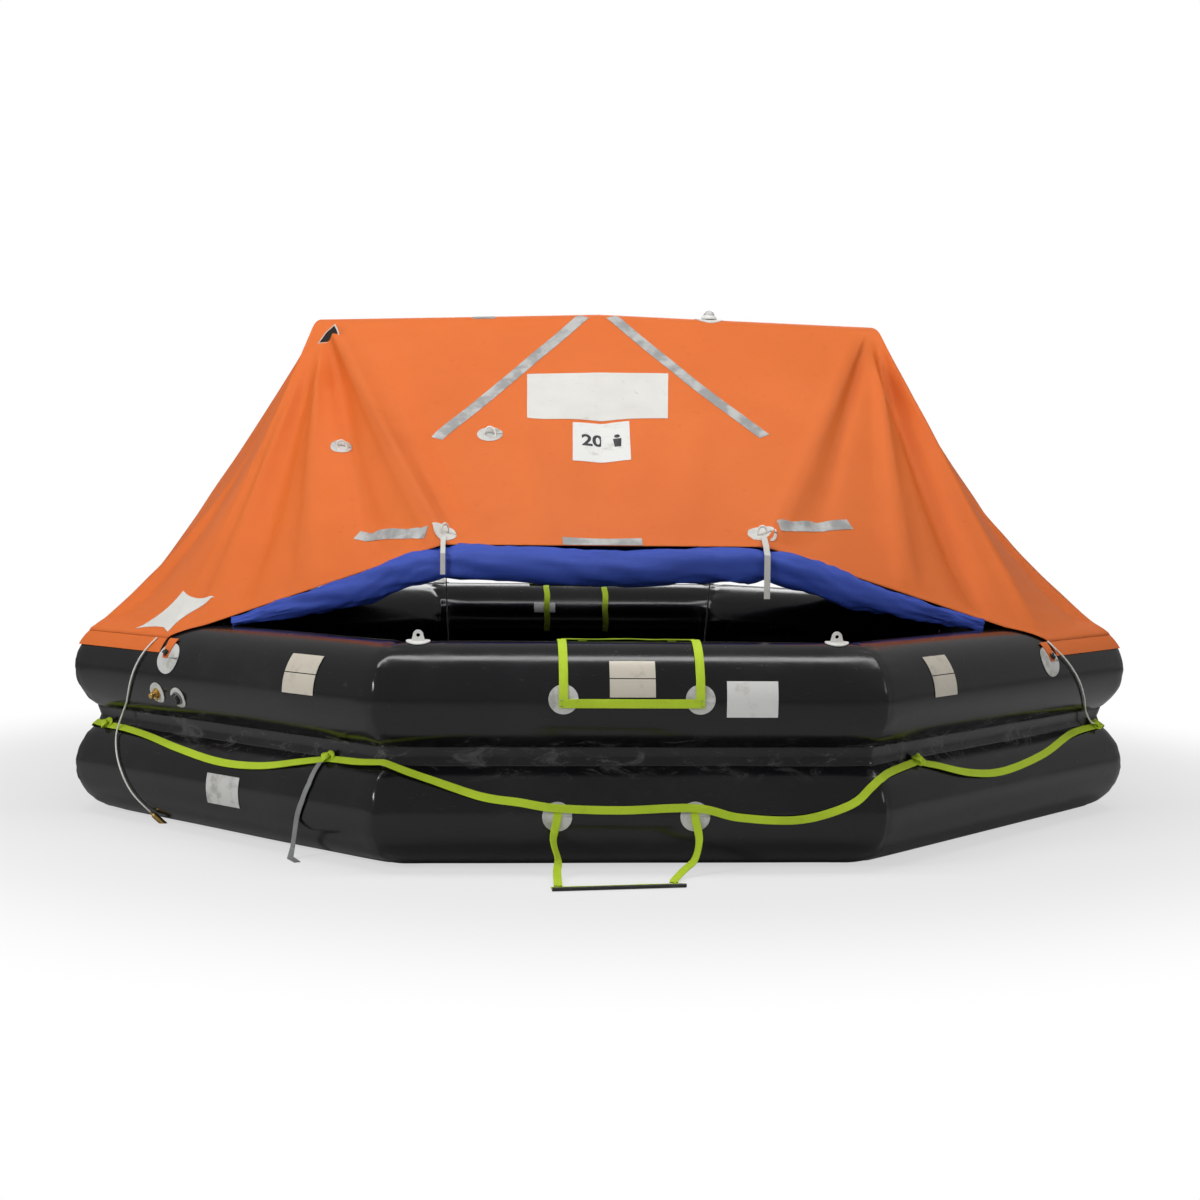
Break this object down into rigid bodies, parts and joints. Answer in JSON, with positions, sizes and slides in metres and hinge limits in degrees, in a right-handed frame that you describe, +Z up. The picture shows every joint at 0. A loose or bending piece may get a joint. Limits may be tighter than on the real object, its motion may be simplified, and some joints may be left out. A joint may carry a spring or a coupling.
{
  "type": "inflatable liferaft",
  "caption": "Inflated octagonal liferaft with stacked black buoyancy tubes, a peaked orange canopy on an arch tube, open entrances, webbing grab line and boarding steps.",
  "frame": {"origin": "on the ground at the middle of the raft's floor", "axes": "+Z up through the canopy; +X to the right seen from the front entrance; -Y out of the front entrance"},
  "size_m": [3.75, 4.2738, 1.8767],
  "materials": {
    "black_tube": "glossy",
    "floor_fabric": "satin",
    "orange_canopy": "matte",
    "silver_tape": "satin",
    "blue_door": "matte",
    "white_trim": "matte",
    "grey_patch": "matte",
    "lime_webbing": "matte",
    "black_plastic": "satin",
    "white_plastic": "satin",
    "clear_lens": "glossy",
    "valve_grey": "satin",
    "brass": "satin",
    "white_cord": "matte",
    "grey_webbing": "matte"
  },
  "bodies": {
    "raft": {"canopy_arch_tube": "black_tube", "canopy_tapes": "silver_tape", "capacity_plate": "white_trim", "corner_blank_panel": "white_trim", "corner_cord": "white_cord", "corner_patches": "grey_patch", "corner_tabs": "orange_canopy", "crown_eyes": "white_plastic", "front_blank_panel": "white_trim", "front_boarding_handle": "lime_webbing", "front_canopy_panel": "orange_canopy", "front_door_roll": "blue_door", "front_inner_straps": "lime_webbing", "front_label": "white_trim", "front_ladder_straps": "lime_webbing", "front_step_rod": "black_plastic", "front_step_webbing": "lime_webbing", "grey_webbing_loop": "grey_webbing", "inflatable_floor": "floor_fabric", "inlet_pad": "grey_patch", "inlet_valve": "brass", "inner_joining_band": "black_tube", "left_canopy_panel": "orange_canopy", "left_canopy_skirt": "orange_canopy", "left_tie_tape": "white_trim", "lifeline": "lime_webbing", "lifeline_knots": "lime_webbing", "light_base": "white_plastic", "light_cable": "white_cord", "light_lens": "clear_lens", "light_pad": "white_trim", "loop_patches": "grey_patch", "lower_buoyancy_tube": "black_tube", "lower_label": "grey_patch", "outer_joining_band": "black_tube", "rear_boarding_handle": "lime_webbing", "rear_canopy_panel": "orange_canopy", "rear_door_roll": "blue_door", "rear_door_stays": "white_cord", "rear_inner_straps": "lime_webbing", "rear_ladder_straps": "lime_webbing", "rear_step_rod": "black_plastic", "rear_step_webbing": "lime_webbing", "reflective_patches": "silver_tape", "ridge_patch": "silver_tape", "right_canopy_panel": "orange_canopy", "right_canopy_skirt": "orange_canopy", "right_tie_tape": "white_trim", "sea_cell": "brass", "strap_patches": "grey_patch", "tie_patches": "white_trim", "topping_up_pad": "grey_patch", "topping_up_valve": "valve_grey", "upper_buoyancy_tube": "black_tube", "vent_hood": "white_trim", "water_pockets": "black_tube"},
    "valve_cap": {"topping_up_cap": "black_plastic"}
  },
  "joints": [
    {"name": "topping_up_cap_turn", "type": "hinge", "parent": "raft", "child": "valve_cap", "pos_m": [-1.453, -1.1843, 0.44741], "axis": [-0.6556, -0.6556, -0.3746], "range_deg": [0, 90]}
  ]
}
